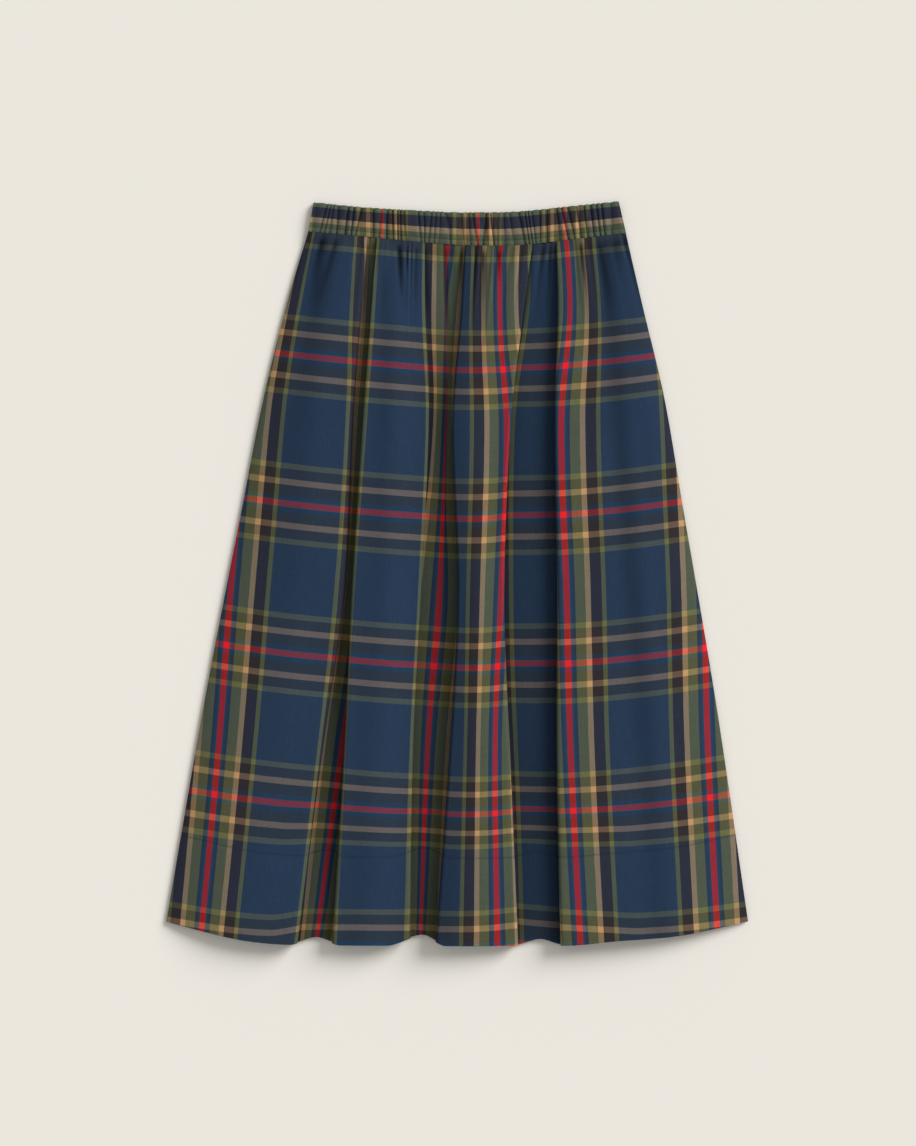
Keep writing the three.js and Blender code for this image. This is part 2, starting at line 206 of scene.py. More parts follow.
def wall_shape(take_up, rise, turn):
    """The wall of a fold: its two radii, steepest angle and straight run that swallow take_up."""
    foot = min(FOOT_RADIUS, rise * FOOT_SHARE)
    turns = foot + turn

    def run(angle):
        return (rise - turns * (1 - math.cos(angle))) / math.sin(angle)

    # Close in on the angle, which stays below the one that leaves no straight run
    low, high = 0.05, min(math.acos(max(1 - rise / turns, -1)), math.pi - 0.01)
    for _ in range(40):
        angle = (low + high) / 2
        swallowed = turns * (angle - math.sin(angle)) + run(angle) * (1 - math.cos(angle))
        low, high = (angle, high) if swallowed < take_up else (low, angle)
    return foot, turn, angle, run(angle)


def on_wall(shape, part):
    """Place along a fold's wall, from the trough (part 0) to the ridge (part 1)."""
    foot, turn, angle, run = shape
    first = angle * np.clip(part / TURN_PART, 0, 1)
    last = angle * np.clip((1 - part) / TURN_PART, 0, 1)
    straight = run * np.clip((part - TURN_PART) / (1 - 2 * TURN_PART), 0, 1)
    past = part > 1 - TURN_PART
    turned_x = turn * (math.sin(angle) - np.sin(last))
    turned_z = turn * (np.cos(last) - math.cos(angle))
    x = foot * np.sin(first) + straight * math.cos(angle) + np.where(past, turned_x, 0)
    z = foot * (1 - np.cos(first)) + straight * math.sin(angle) + np.where(past, turned_z, 0)
    return x, z


def at_drop(values, drop):
    """Value at a height, from its values at the heights of the fold table."""
    return float(smooth_curve(list(zip(FOLD_DROPS, values)), drop))


def folds_at(drop):
    """The folds at one height: rise, wall, side of the ridge, and x of crest and foot."""
    folds = []
    for fold in FOLDS:
        rise, turn = at_drop(fold["rise"], drop), at_drop(fold["turn"], drop)
        wall = wall_shape(at_drop(fold["take_up"], drop), rise, turn)
        side = fold["ridge"]
        crest = at_drop(fold["across"], drop) + side * turn * math.sin(min(wall[2], math.pi / 2))
        foot = crest - side * float(on_wall(wall, np.array(1.0))[0])
        folds.append(dict(rise=rise, wall=wall, side=side, crest=crest, foot=foot))
    return folds


def front_section(column, drop):
    """Middle of the front cloth at one height: x and z of each column."""
    left = float(smooth_curve(SIDES_LEFT, drop))
    right = float(smooth_curve(SIDES_RIGHT, drop))
    folds = folds_at(drop)
    x = np.zeros_like(column)
    z = np.zeros_like(column)
    piece = np.minimum(column.astype(int), 2 * len(folds))
    part_of = column - piece
    gathers_before = 0
    for index, stretch in enumerate(STRETCHES):
        here = piece == 2 * index
        part = part_of[here]
        trough = index % 2 == 1
        before = folds[index - 1] if index else None
        after = folds[index] if index < len(folds) else None
        edge = "foot" if trough else "crest"
        start_x, end_x = left, right
        start_z = end_z = SIDE_Z
        blend = part
        if before:
            start_x = before[edge]
            start_z = TROUGH_Z + (0 if trough else before["rise"])
        else:
            blend = np.sin(math.pi / 2 * part) ** SIDE_ROUNDING
        if after:
            end_x = after[edge]
            end_z = TROUGH_Z + (0 if trough else after["rise"])
        else:
            blend = 1 - np.cos(math.pi / 2 * part) ** SIDE_ROUNDING
        x[here] = start_x + (end_x - start_x) * part
        bulge = stretch["crown"] * min(1, drop / CROWN_START) * np.sin(math.pi * part) ** 2
        climb = stretch["climb"] * smooth_step(drop, *CLIMB_DROPS)
        climb = climb * np.sin(math.pi * part**CLIMB_LEAN)
        z[here] = start_z + (end_z - start_z) * blend + bulge + climb
        z[here] += gather_ripple(gathers_before + stretch["gathers"] * part, drop)
        near_pleat = PLEAT_REACH - np.abs(column[here] - PLEAT_COLUMN)
        pleat = PLEAT_DEPTH * smooth_step(PLEAT_END - drop, 0, PLEAT_FADE)
        z[here] -= pleat * smooth_step(near_pleat, 0, PLEAT_REACH)
        if not trough:
            z[here] -= crease_depth(x[here], drop)
        gathers_before += stretch["gathers"]
    for index, fold in enumerate(folds):
        here = piece == 2 * index + 1
        part = part_of[here] if fold["side"] > 0 else 1 - part_of[here]
        wall_x, wall_z = on_wall(fold["wall"], part)
        x[here] = fold["foot"] + fold["side"] * wall_x
        z[here] = TROUGH_Z + wall_z
    return x, z


def gather_ripple(gather, drop):
    """Small gathers under the waist seam, each of its own width, height and length."""
    height = uneven(11, gather * 0.8, *GATHER_HEIGHT)
    reach = uneven(12, gather * 1.1, *GATHER_REACH)
    shift = uneven(13, gather * 0.5, *GATHER_SHIFT)
    below_seam = drop * SKIRT_LENGTH
    fade = np.exp(-((below_seam / reach) ** GATHER_FADE))
    fine_fade = FINE_HEIGHT * np.exp(-below_seam / FINE_REACH)
    fine = fine_fade * np.sin(2 * math.pi * (FINE_WAVES * gather + 2 * shift))
    return height * fade * np.sin(2 * math.pi * (WAVES_PER_GATHER * gather + shift)) + fine


def crease_depth(x, drop):
    """How deep the soft creases are at each x of one height."""
    depth = np.zeros_like(x)
    for crease in CREASES:
        middle = crease["top"] + (crease["low"] - crease["top"]) * drop
        strength = max(0, 1 - drop / crease["reach"]) * smooth_step(drop, 0, CREASE_START)
        depth += crease["depth"] * strength * np.exp(-(((x - middle) / crease["width"]) ** 2))
    return depth


def columns_of(per_gather, per_wall):
    """Column numbers across the front: fine on the gathered stretches and round the folds."""
    columns = []
    for index, stretch in enumerate(STRETCHES):
        steps = stretch["gathers"] * per_gather
        columns += [2 * index + i / steps for i in range(steps)]
        if index < len(FOLDS):
            columns += [2 * index + 1 + i / per_wall for i in range(per_wall)]
    return np.array(columns + [LAST_COLUMN])


def front_middle(columns, drops):
    """Middle of the front cloth over a grid of rows and columns, as rows of points."""
    seam_x = front_section(columns, 0)[0]
    hem_x = front_section(columns, 1)[0]
    top = smooth_curve(WAIST_SEAM, seam_x) - SEAM_GAP / 2
    bottom = smooth_curve(HEM, hem_x)
    for start, peak, end, height in HEM_WAVES:
        rising, falling = smooth_step(hem_x, start, peak), smooth_step(-hem_x, -end, -peak)
        bottom += height * np.minimum(rising, falling)
    rows = []
    for drop in drops:
        x, z = front_section(columns, drop)
        # The cloth rises out of the seam, which holds it down
        free = SEAM_HOLD + (1 - SEAM_HOLD) * smooth_step(drop, 0, SEAM_HOLD_END)
        z = SEAM_Z + (z - SEAM_Z) * free
        rows.append(np.stack([x, top + (bottom - top) * drop, z], axis=1))
    return np.array(rows)


def outward(rows):
    """Outward direction at each point of a grid of rows."""
    normal = np.cross(np.gradient(rows, axis=0), np.gradient(rows, axis=1))
    return normal / np.linalg.norm(normal, axis=2, keepdims=True)


def openness(rows):
    """Share of soft light from both sides that reaches each point past others in its row."""
    shares = []
    for row in rows:
        x, z = row[:, 0], row[:, 2]
        away = x[None, :] - x[:, None]
        rise = z[None, :] - z[:, None]
        slope = np.arctan2(rise, np.abs(away) + OPENNESS_SOFTNESS)
        slope = np.where(np.abs(away) < OPENNESS_REACH, slope, 0)
        left = np.clip(np.where(away <= 0, slope, 0).max(axis=1), 0, None)
        right = np.clip(np.where(away >= 0, slope, 0).max(axis=1), 0, None)
        shares.append((1 - np.sin(left)) * (1 - np.sin(right)))
    return np.array(shares)


def place_in_cloth(rows, columns, drops):
    """Place of each point in the flat cloth: across from the third red stripe, down from the
    seam."""
    across = []
    for row, drop in zip(rows, drops):
        step = np.linalg.norm(np.diff(row[:, ::2], axis=0), axis=1)
        length = np.concatenate([[0], np.cumsum(step)])
        known = [at_drop(place["along"], drop) for place in CLOTH_PLACES]
        at = np.interp([place["column"] for place in CLOTH_PLACES], columns, length)
        across.append(np.interp(length, at, known))
    step = np.linalg.norm(np.diff(rows, axis=0)[:, :, :2], axis=2)
    down = np.concatenate([np.zeros((1, rows.shape[1])), np.cumsum(step, axis=0)])
    creep = smooth_curve(HEM_CREEP, rows[-1, :, 0]) * smooth_step(drops, *CREEP_DROPS)[:, None]
    taken = SEAM_TAKES * (1 - smooth_step(drops, 0, SEAM_TAKES_END))[:, None]
    return np.stack([np.array(across), down + creep + taken], axis=2)


def closed_cloth(name, outer, inner, places, shade=None):
    """A closed shell of cloth from its outer and inner grids, with its places in the cloth as UVs
    and, where it is given, how shaded its outer face lies."""
    row_count, column_count = outer.shape[:2]
    points = np.concatenate([outer.reshape(-1, 3), inner.reshape(-1, 3)]) * MM
    number = np.arange(row_count * column_count).reshape(row_count, column_count)
    a, b, c, d = number[:-1, :-1], number[:-1, 1:], number[1:, 1:], number[1:, :-1]
    face_out = np.stack([a, d, c, b], axis=-1).reshape(-1, 4)
    below = row_count * column_count
    face_in = np.stack([a, b, c, d], axis=-1).reshape(-1, 4) + below
    edge = np.concatenate([number[0], number[1:, -1], number[-1, -2::-1], number[-2:0:-1, 0]])
    ahead = np.roll(edge, -1)
    rim = np.stack([edge, ahead, ahead + below, edge + below], axis=-1)
    faces = np.concatenate([face_out, face_in, rim])
    mesh = bpy.data.meshes.new(name)
    mesh.vertices.add(len(points))
    mesh.vertices.foreach_set("co", points.ravel())
    mesh.loops.add(faces.size)
    mesh.loops.foreach_set("vertex_index", faces.ravel())
    mesh.polygons.add(len(faces))
    mesh.polygons.foreach_set("loop_start", np.arange(0, faces.size, 4))
    mesh.update(calc_edges=True)
    mesh.validate()
    uv = np.concatenate([places.reshape(-1, 2)] * 2) * MM
    layer = mesh.uv_layers.new(name="cloth")
    layer.data.foreach_set("uv", uv[faces.ravel()].ravel())
    if shade is not None:
        values = np.concatenate([shade.ravel(), np.zeros(below)])
        mesh.attributes.new("shade", "FLOAT", "POINT").data.foreach_set("value", values)
    mesh.polygons.foreach_set("use_smooth", np.ones(len(faces), bool))
    mesh.set_sharp_from_angle(angle=math.radians(60))
    piece = bpy.data.objects.new(name, mesh)
    bpy.context.scene.collection.objects.link(piece)
    return piece


# The check: stripes by their distance from each red stripe, in a repeat that mirrors about it
WARP_REPEAT = 154.4
WARP_STRIPES = [(0, "red"), (3.2, "teal"), (6, "blue"), (9.2, "green"), (20.5, "tan"),
                (26.5, "charcoal"), (38.3, "olive"), (43.2, "blue")]
WARP_YARNS = dict(
    red=(0.4259, 0.0005, 0.0005), teal=(0.0005, 0.043, 0.082), blue=(0.0041, 0.0287, 0.0588),
    green=(0.09, 0.105, 0.0355), tan=(0.3, 0.212, 0.098),
    charcoal=(0.0105, 0.0092, 0.011), olive=(0.087, 0.106, 0.033),
)
WEFT_REPEAT = 160.4
WEFT_STRIPES = [(0, "red"), (3.2, "teal"), (6, "blue"), (8.6, "charcoal"), (20, "tan"),
                (26.5, "charcoal"), (37, "olive"), (43.2, "blue")]
WEFT_YARNS = dict(
    red=(0.42, 0.042, 0.056), teal=(0.022, 0.072, 0.12), blue=(0.045, 0.0575, 0.1),
    charcoal=(0.0575, 0.049, 0.054), tan=(0.31, 0.2, 0.135),
    olive=(0.1471, 0.1383, 0.0909),
)
# How the two sets mix where they cross: a share of each, and of their product
WARP_SHARE = 0.5
WEFT_SHARE = 0.35
PRODUCT_SHARE = 2.5
FIRST_WEFT_RED = 136  # below the waist seam
YARN = 0.62  # spacing of the yarns
STRIPE_WAVER = 0.5  # how far the stripes' edges wander
# Streaks to a metre, across a yarn and along it, and specks and soft patches to a metre
STREAKS_ACROSS = 1100
STREAKS_ALONG = 55
SPECKS = 900
PATCHES_ACROSS = 14
PATCHES_DOWN = 9
# How much each of them varies the cloth's colour, on a base that brings the mean to one
BASE_COLOUR = 0.44
WARP_HEATHER = 0.38
WEFT_HEATHER = 0.24
SPECKLE_HEATHER = 0.36
PATCH_HEATHER = 0.14
# The weave's fine relief
RELIEF = 0.12
RELIEF_STRENGTH = 0.55
SPECKLE_RELIEF = 0.8
WEAVE_RELIEF = 0.5


def woven_check(name):
    """Plain-woven check cotton: two sets of striped yarns that mix where they cross."""
    material = bpy.data.materials.new(name)
    material.use_nodes = True
    nodes, links = material.node_tree.nodes, material.node_tree.links
    nodes.clear()

    def node(kind, inputs=(), **settings):
        made = nodes.new("ShaderNode" + kind)
        for key, value in settings.items():
            setattr(made, key, value)
        for socket, value in inputs:
            if isinstance(value, bpy.types.NodeSocket):
                links.new(value, made.inputs[socket])
            else:
                made.inputs[socket].default_value = value
        return made.outputs[0]

    def math_node(operation, *values):
        return node("Math", list(enumerate(values)), operation=operation)

    uv = node("UVMap", uv_map="cloth")
    split = nodes.new("ShaderNodeSeparateXYZ")
    links.new(uv, split.inputs[0])
    across, down = split.outputs[0], split.outputs[1]

    def streaks(across_scale, down_scale, detail):
        vector = node("CombineXYZ", [
            (0, math_node("MULTIPLY", across, across_scale)),
            (1, math_node("MULTIPLY", down, down_scale)),
        ])
        settings = [("Vector", vector), ("Scale", 1.0), ("Detail", detail), ("Roughness", 0.6)]
        return node("TexNoise", settings, noise_dimensions="2D")

    def striped(place, repeat, stripes, yarns, jitter):
        moved = math_node("MULTIPLY_ADD", jitter, STRIPE_WAVER * MM, place)
        distance = math_node("PINGPONG", moved, repeat / 2 * MM)
        part = math_node("DIVIDE", distance, repeat / 2 * MM)
        ramp = nodes.new("ShaderNodeValToRGB")
        ramp.color_ramp.interpolation = "CONSTANT"
        elements = ramp.color_ramp.elements
        elements.remove(elements[1])
        for start, yarn in stripes:
            element = elements[0] if start == 0 else elements.new(start / (repeat / 2))
            element.color = (*yarns[yarn], 1)
        links.new(part, ramp.inputs[0])
        return ramp.outputs[0]

    warp_streaks = streaks(STREAKS_ACROSS, STREAKS_ALONG, 3)
    weft_streaks = streaks(STREAKS_ALONG, STREAKS_ACROSS, 3)
    warp = striped(across, WARP_REPEAT, WARP_STRIPES, WARP_YARNS, warp_streaks)
    down_from_red = math_node("SUBTRACT", down, FIRST_WEFT_RED * MM)
    weft = striped(down_from_red, WEFT_REPEAT, WEFT_STRIPES, WEFT_YARNS, weft_streaks)

    def vector_math(operation, *values):
        return node("VectorMath", list(enumerate(values)), operation=operation)

    both = vector_math("MULTIPLY", warp, weft)
    mixed = vector_math("MULTIPLY", weft, (WEFT_SHARE,) * 3)
    mixed = vector_math("MULTIPLY_ADD", warp, (WARP_SHARE,) * 3, mixed)
    cloth = vector_math("MULTIPLY_ADD", both, (PRODUCT_SHARE,) * 3, mixed)

    # Heathered yarns: fine streaks along both sets, a speckle and soft patches
    speckle = streaks(SPECKS, SPECKS, 2)
    patches = streaks(PATCHES_ACROSS, PATCHES_DOWN, 3)
    heather = [(warp_streaks, WARP_HEATHER), (weft_streaks, WEFT_HEATHER),
               (speckle, SPECKLE_HEATHER), (patches, PATCH_HEATHER)]
    light = BASE_COLOUR
    for pattern, amount in heather:
        light = math_node("MULTIPLY_ADD", pattern, amount, light)
    # Painted shade from the shade attribute of the front and its waistband darkens the colour
    shade = nodes.new("ShaderNodeAttribute")
    shade.attribute_name = "shade"
    light = math_node("MULTIPLY", light, math_node("SUBTRACT", 1.0, shade.outputs["Fac"]))
    coloured = node("VectorMath", [(0, cloth), ("Scale", light)], operation="SCALE")

    # The weave: one yarn over, one under
    turn = 2 * math.pi / (2 * YARN * MM)
    weave = math_node(
        "MULTIPLY",
        math_node("SINE", math_node("MULTIPLY", across, turn)),
        math_node("SINE", math_node("MULTIPLY", down, turn)),
    )
    woven = math_node("MULTIPLY", weave, WEAVE_RELIEF)
    height = math_node("MULTIPLY_ADD", speckle, SPECKLE_RELIEF, woven)
    relief = [("Height", height), ("Distance", RELIEF * MM), ("Strength", RELIEF_STRENGTH)]
    bump = node("Bump", relief)
    shader = nodes.new("ShaderNodeBsdfPrincipled")
    links.new(coloured, shader.inputs["Base Color"])
    links.new(bump, shader.inputs["Normal"])
    shader.inputs["Roughness"].default_value = 0.88
    shader.inputs["Specular IOR Level"].default_value = 0.08
    shader.inputs["Sheen Weight"].default_value = 0.02
    shader.inputs["Sheen Roughness"].default_value = 0.5
    output = nodes.new("ShaderNodeOutputMaterial")
    links.new(shader.outputs[0], output.inputs[0])
    return material


check_cotton = woven_check("check cotton")

# Shade that the light alone doesn't give. In the folds it goes by how little of the light reaches
# in, with more of it as the folds open below the seam, and more again low down.
OPENNESS_REACH = 45  # how far to the sides a point is shaded from
OPENNESS_SOFTNESS = 1.2
DEEPEST_SHADE = 0.62
SHADE_POWER = 0.45
SHADE_FLOOR = 0.12
SHADE_AT_SEAM = 0.35
SHADE_OPENED = 0.5
OPENED_DROPS = (0.03, 0.28)
SHADE_LOW = 0.27
LOW_DROPS = (0.45, 0.8)
# Painted shade on the creases, along the hem line, and between the small gathers
PAINTED_CREASE_SHADE = 0.13  # for each millimetre of depth
HEM_LINE_SHADE = 0.22
HEM_LINE_WIDTH = 0.9
SUNK_SHADE = 0.55
SUNK_DROPS = (0.06, 0.14)
GATHER_WINDOW = 9  # columns either way
# The third ridge turns away from the light beside its left crest, over a greater width low down
THIRD_RIDGE = 8  # column of that crest
TURNED_FROM = 7.7
TURNED_SHADE = 0.3
TURNED_WIDTH = 14
TURNED_SPREAD = 0.6

# The stitched hem line: a fine ditch in small uneven puckers, with a soft puff below it
DITCH_WIDTH = 2.2
PUCKER_DEPTH = 0.1
PUCKER_UNEVEN = 0.12
PUFF_HEIGHT = 0.15
PUFF_PLACE = 14
PUFF_WIDTH = 9
HEM_LAYER_IN = (-1, 5)  # the hem's layer comes in over this stretch, down across the line

# Columns and rows of the mesh: closest under the seam, with extra rows beside the hem line
HEM_LINE_ROWS = [-4.5, -2.4, -1.1, 1.1, 2.4, 4.5]
front_columns = columns_of(per_gather=6, per_wall=12)
front_drops = np.sort(np.concatenate([
    np.linspace(0, 0.06, 18, endpoint=False),
    np.linspace(0.06, HEM_LINE, 76, endpoint=False),
    np.linspace(HEM_LINE, 1, 14),
    HEM_LINE + np.array(HEM_LINE_ROWS) / SKIRT_LENGTH,
]))


def front_shade(outer, below_line):
    """How shaded each point of the front lies, beyond what the light does."""
    light = SHADE_FLOOR + (1 - SHADE_FLOOR) * openness(outer)
    shade = DEEPEST_SHADE * (1 - light**SHADE_POWER)
    opened = smooth_step(front_drops, *OPENED_DROPS)
    low_down = smooth_step(front_drops, *LOW_DROPS)
    shade *= (SHADE_AT_SEAM + SHADE_OPENED * opened + SHADE_LOW * low_down)[:, None]
    ridges = front_columns.astype(int) % 4 == 0
    shade += PAINTED_CREASE_SHADE * np.array([crease_depth(line[:, 0], drop) * ridges
                                     for line, drop in zip(outer, front_drops)])
    shade += HEM_LINE_SHADE * np.exp(-((below_line / HEM_LINE_WIDTH) ** 2))[:, None]
    # Between the small gathers under the seam the cloth sinks, and painted shade darkens it there
    window = np.ones(2 * GATHER_WINDOW + 1) / (2 * GATHER_WINDOW + 1)
    for row, drop, line in zip(shade, front_drops, outer):
        around = np.convolve(np.pad(line[:, 2], GATHER_WINDOW, mode="edge"), window, mode="valid")
        sunk = np.clip(around - line[:, 2], 0, 1)
        row += SUNK_SHADE * (1 - smooth_step(drop, *SUNK_DROPS)) * sunk
    crest = int(np.argmin(np.abs(front_columns - THIRD_RIDGE)))
    turned = (front_columns >= TURNED_FROM) & (front_columns < THIRD_RIDGE + 1)
    for row, line, low in zip(shade, outer, low_down):
        width = TURNED_WIDTH * (1 + TURNED_SPREAD * low)
        past = np.clip(line[:, 0] - line[crest, 0], 0, None) / width
        row[turned] += (TURNED_SHADE * np.exp(-(past**2)))[turned]
    return shade


def front_panel():
    """The front cloth, and the grid of its outer face."""
    middle = front_middle(front_columns, front_drops)
    normal = outward(middle)
    below_line = (front_drops - HEM_LINE) * SKIRT_LENGTH
    ditch = np.exp(-((below_line / DITCH_WIDTH) ** 2))[:, None]
    wander = uneven(21, np.arange(len(front_columns)) / 3, -1, 1)[None, :]
    pucker = PUCKER_DEPTH + PUCKER_UNEVEN * wander
    puff = PUFF_HEIGHT * np.exp(-(((below_line - PUFF_PLACE) / PUFF_WIDTH) ** 2))[:, None]
    middle = middle + normal * (puff - ditch * pucker)[:, :, None]
    inner_depth = CLOTH / 2 + HEM_LAYER * smooth_step(below_line, *HEM_LAYER_IN)[:, None, None]
    outer = middle + normal * CLOTH / 2
    inner = middle - normal * inner_depth
    places = place_in_cloth(middle, front_columns, front_drops)
    shade = front_shade(outer, below_line)
    return closed_cloth("front_cloth", outer, inner, places, shade), outer


front_cloth, front_surface = front_panel()
front_cloth.data.materials.append(check_cotton)
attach(front_cloth, "root")
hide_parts("front_panel")

# Hem stitches
# One row of dark machine stitches round the front, that holds the turned-up hem. Each stitch is
# a short bead of thread, half sunk in the cloth.
STITCH_PITCH = 2.7
STITCH_LENGTH = 1.9
THREAD_RADIUS = 0.17


def stitch_tree():
    """Nodes that lay a stitch at even steps along a line of edges."""
    tree = bpy.data.node_groups.new("stitches", "GeometryNodeTree")
    tree.interface.new_socket("Geometry", in_out="INPUT", socket_type="NodeSocketGeometry")
    tree.interface.new_socket("Geometry", in_out="OUTPUT", socket_type="NodeSocketGeometry")
    inputs = dict(Pitch="Float", Length="Float", Radius="Float", Seed="Int", Thread="Material")
    for name, kind in inputs.items():
        tree.interface.new_socket(name, in_out="INPUT", socket_type="NodeSocket" + kind)

    def node(kind, inputs, **settings):
        made = tree.nodes.new(kind)
        for key, value in settings.items():
            setattr(made, key, value)
        for socket, value in inputs.items():
            if isinstance(value, bpy.types.NodeSocket):
                tree.links.new(value, made.inputs[socket])
            else:
                made.inputs[socket].default_value = value
        return made

    given = tree.nodes.new("NodeGroupInput").outputs
    line = node("GeometryNodeMeshToCurve", {"Mesh": given["Geometry"]})
    steps = node("GeometryNodeResampleCurve", {"Curve": line.outputs[0], "Length": given["Pitch"]},
                 mode="LENGTH")
    bead = node("GeometryNodeMeshUVSphere", {"Segments": 8, "Rings": 6, "Radius": 1.0})
    tangent = node("GeometryNodeInputTangent", {})
    turn = node("FunctionNodeAlignRotationToVector", {"Vector": tangent.outputs[0]}, axis="X")
    vary = node("FunctionNodeRandomValue", {"Min": (0.85, 0.8, 0.8), "Max": (1.1, 1.15, 1.1),
                                            "Seed": given["Seed"]}, data_type="FLOAT_VECTOR")
    half = node("ShaderNodeMath", {0: given["Length"], 1: 0.5}, operation="MULTIPLY")
    size = node("ShaderNodeCombineXYZ", {0: half.outputs[0], 1: given["Radius"],
                                         2: given["Radius"]})
    scale = node("ShaderNodeVectorMath", {0: size.outputs[0], 1: vary.outputs[0]},
                 operation="MULTIPLY")
    row = node("GeometryNodeInstanceOnPoints", {
        "Points": steps.outputs[0], "Instance": bead.outputs[0],
        "Rotation": turn.outputs[0], "Scale": scale.outputs[0],
    })
    real = node("GeometryNodeRealizeInstances", {"Geometry": row.outputs[0]})
    smooth = node("GeometryNodeSetShadeSmooth", {"Geometry": real.outputs[0]})
    threaded = node("GeometryNodeSetMaterial", {"Geometry": smooth.outputs[0],
                                                "Material": given["Thread"]})
    result = tree.nodes.new("NodeGroupOutput")
    tree.links.new(threaded.outputs[0], result.inputs[0])
    return tree


def thread_material():
    material = bpy.data.materials.new("dark thread")
    material.use_nodes = True
    shader = material.node_tree.nodes["Principled BSDF"]
    shader.inputs["Base Color"].default_value = (0.012, 0.016, 0.026, 1)
    shader.inputs["Roughness"].default_value = 0.6
    return material


def stitch_row(name, path, pitch, length, seed):
    """Stitches along a path, as an ordinary mesh."""
    line = bpy.data.meshes.new(name + " line")
    line.from_pydata((path * MM).tolist(), [(i, i + 1) for i in range(len(path) - 1)], [])
    row = bpy.data.objects.new(name, line)
    bpy.context.scene.collection.objects.link(row)
    modifier = row.modifiers.new("stitches", "NODES")
    modifier.node_group = stitches
    values = {"Pitch": pitch * MM, "Length": length * MM, "Radius": THREAD_RADIUS * MM,
              "Seed": seed, "Thread": thread}
    for item in stitches.interface.items_tree:
        if item.in_out == "INPUT" and item.name in values:
            modifier[item.identifier] = values[item.name]
    depsgraph = bpy.context.evaluated_depsgraph_get()
    made = bpy.data.meshes.new_from_object(row.evaluated_get(depsgraph), depsgraph=depsgraph)
    row.modifiers.clear()
    row.data = made
    return row


stitches = stitch_tree()
thread = thread_material()
hem_row = front_surface[int(np.argmin(np.abs(front_drops - HEM_LINE)))]
hem_stitches = stitch_row("hem_stitches", hem_row, STITCH_PITCH, STITCH_LENGTH, seed=3)
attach(hem_stitches, "root")

# Back panel
# The back of the skirt, cut from the same check. It lies flat underneath, from side seam to side
# seam, with its hem turned up like the front's and hanging a little shorter.
BACK_CLOTH = 1.0
BACK_HEM_RISE = 11
BACK_WAIST_CUT = 500
BACK_HEM_CUT = 630
BACK_STEPS = 61


def back_panel():
    """The back cloth, one flat layer."""
    part = np.linspace(0, 1, BACK_STEPS)

    def across(drop):
        left = float(smooth_curve(SIDES_LEFT, drop))
        return left + (float(smooth_curve(SIDES_RIGHT, drop)) - left) * part

    top = smooth_curve(WAIST_SEAM, across(0)) - SEAM_GAP / 2
    bottom = smooth_curve(HEM, across(1)) + BACK_HEM_RISE * np.sin(math.pi * part) ** 0.5
    rows = []
    places = []
    for drop in np.linspace(0, 1, BACK_STEPS):
        x, y = across(drop), top + (bottom - top) * drop
        rows.append(np.stack([x, y, np.zeros_like(x)], axis=1))
        cut = BACK_WAIST_CUT + (BACK_HEM_CUT - BACK_WAIST_CUT) * drop
        places.append(np.stack([(part - 0.5) * cut, top - y], axis=1))
    rows = np.array(rows)
    lying = rows + np.array([0, 0, BACK_CLOTH])
    return closed_cloth("back_cloth", lying, rows, np.array(places))


back_cloth = back_panel()
back_cloth.data.materials.append(check_cotton)
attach(back_cloth, "root")
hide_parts("back_panel")

# Front waistband
# The casing of the elastic, cut across the grain so that its stripes run round the waist. The
# elastic draws it into close gathers, and one row of stitches runs just above the seam.
BAND_TOP = [
    (-155, 400.5), (-100, 395), (-22, 390.5), (10, 389.5), (65, 390.5), (125, 396.5),
    (174.5, 401.5),
]
BAND_UNDER = 2.3  # height of its underside
BAND_WALL = 3.0
BAND_CLOTH = 0.7
BAND_GATHERS = 44
POINTS_PER_GATHER = 14
# The tucks: shift to the side, lean and height, and how much painted shade darkens their creases,
# least to most
TUCK_SHIFT = (-0.85, 0.85)
TUCK_LEAN = (-0.8, 0.8)
TUCK_HEIGHT = (0.55, 1.6)
CREASE_STRENGTH = (0.1, 1.3)
TUCK_ROUNDNESS = 0.7  # below 1, the tucks are rounder and the creases between them sharper
TUCK_LOW = 1.45
TUCK_LIFT = 0.35
BAND_STITCH_PART = 0.84
SCALLOP = 0.9  # how far the creases nick the upper edge
SCALLOP_PART = 0.12
# Painted shade in the creases between the tucks, at most DARKEST_CREASE, and along the stitch row
CREASE_SHADE = 0.85
DARKEST_CREASE = 0.9
STITCH_SHADE = 0.3
# Place of the strip in the width of the check, at its upper edge and at the seam
BAND_TOP_ACROSS = -44
BAND_SEAM_ACROSS = -10
# Where the check's weft stripes come along the band: x, and distance along the strip
BAND_ALONG = [(-161, -124), (-81, 0), (22.5, 160.4), (116.4, 320.8), (182.5, 433)]
# Up the casing's face from the seam and back down its inside: part of its height from the upper
# edge, how full, how gathered
BAND_FACE = [(1, 0.8, 0.9), (0.93, 0.86, 0.9), (0.87, 0.7, 0.8), (0.84, 0.62, 0.75),
             (0.81, 0.7, 0.8), (0.74, 0.86, 0.9), (0.6, 1, 1), (0.45, 1.03, 1), (0.3, 1, 1),
             (0.18, 0.98, 1), (0.1, 0.93, 1), (0.04, 0.8, 0.95), (0.01, 0.6, 0.8),
             (0, 0.38, 0.6), (0.02, 0.16, 0.3), (0.1, 0.12, 0.05), (0.5, 0.12, 0), (1, 0.12, 0)]


def band_point(part, along):
    """x and y at a part of the band's height, from its upper edge (0) to the seam (1)."""
    top_x = BAND_TOP[0][0] + (BAND_TOP[-1][0] - BAND_TOP[0][0]) * along
    seam_x = WAIST_SEAM[0][0] + (WAIST_SEAM[-1][0] - WAIST_SEAM[0][0]) * along
    top_y = smooth_curve(BAND_TOP, top_x)
    seam_y = smooth_curve(WAIST_SEAM, seam_x) + SEAM_GAP / 2
    return top_x + (seam_x - top_x) * part, top_y + (seam_y - top_y) * part


